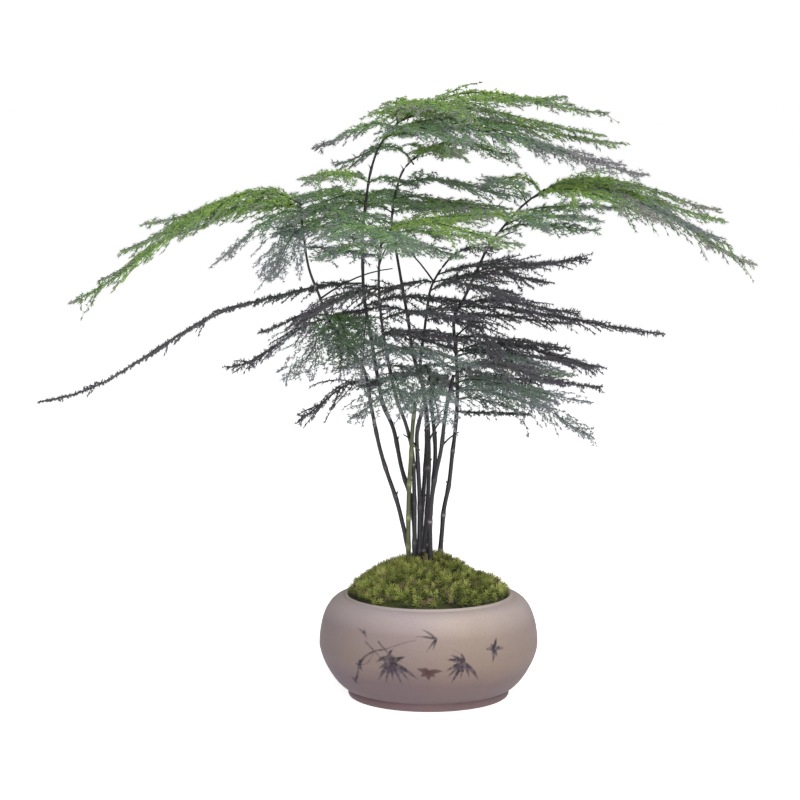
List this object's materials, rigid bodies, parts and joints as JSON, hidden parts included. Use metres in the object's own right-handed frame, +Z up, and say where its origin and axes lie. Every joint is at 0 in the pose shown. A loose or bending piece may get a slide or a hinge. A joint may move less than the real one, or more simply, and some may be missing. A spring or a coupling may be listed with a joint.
{
  "type": "potted lace fern",
  "caption": "Lace fern with thin dark stems and flat, level, lacy fronds, growing from a mossy mound in a low round stoneware pot.",
  "frame": {"origin": "centre of the pot's flat foot, on the surface that it stands on", "axes": "+Z up along the pot's axis, +X towards the right of the picture, -Y towards its viewer"},
  "size_m": [0.417, 0.2112, 0.3594],
  "materials": {
    "clay": "matte, unglazed, fine grained",
    "soil": "damp potting mix, crumbly",
    "moss": "star moss, soft, matte",
    "stem_dark": "wiry, nearly black, semi-matte",
    "stem_olive": "young, olive green, semi-matte",
    "frond_bright": "fine needles, fresh green",
    "frond_green": "fine needles, deep green",
    "frond_pale": "fine needles, grey green",
    "frond_dark": "fine needles, blackish green"
  },
  "bodies": {
    "root": {"pot": "clay", "soil": "soil", "moss": "moss", "stem_a": "stem_dark", "stem_b": "stem_dark", "stem_c": "stem_dark", "stem_d": "stem_olive", "stem_e": "stem_dark", "stem_f": "stem_dark", "stem_g": "stem_dark", "stem_h": "stem_dark", "stem_i": "stem_dark", "stem_j": "stem_dark", "frond_top_right": "frond_bright", "frond_top_right_back": "frond_bright", "frond_top_left_front": "frond_bright", "frond_top_back": "frond_bright", "frond_top_front": "frond_bright", "frond_upper_left": "frond_green", "frond_upper_right": "frond_bright", "frond_upper_right_low": "frond_green", "frond_upper_front": "frond_green", "frond_third_right": "frond_bright", "frond_third_left": "frond_green", "frond_third_front": "frond_bright", "frond_crown_left_front": "frond_bright", "frond_left_long": "frond_bright", "frond_left_back": "frond_bright", "frond_left_front": "frond_green", "frond_left_hanging": "frond_pale", "frond_crown_left_back": "frond_green", "frond_crown_back": "frond_green", "frond_crown_right": "frond_bright", "frond_crown_right_front": "frond_bright", "frond_crown_front_left": "frond_green", "frond_crown_front": "frond_green", "frond_crown_back_right": "frond_green", "frond_right_long": "frond_bright", "frond_right_front": "frond_bright", "frond_right_back": "frond_bright", "frond_right_crest": "frond_green", "frond_right_low": "frond_green", "frond_lower_left_long": "frond_dark", "frond_middle_left": "frond_dark", "frond_middle_left_front": "frond_dark", "frond_middle_right": "frond_dark", "frond_middle_right_front": "frond_dark", "frond_middle_right_long": "frond_dark", "frond_middle_front": "frond_dark", "frond_lower_left": "frond_dark", "frond_lower_left_front": "frond_pale", "frond_lower_front_left": "frond_pale", "frond_bottom_left": "frond_dark", "frond_lower_right": "frond_dark", "frond_lower_right_front": "frond_dark", "frond_bottom_right": "frond_pale", "frond_bottom_right_front": "frond_pale", "frond_bottom_front_left": "frond_pale", "frond_bottom_front": "frond_pale", "frond_bottom_back": "frond_dark"}
  },
  "joints": []
}
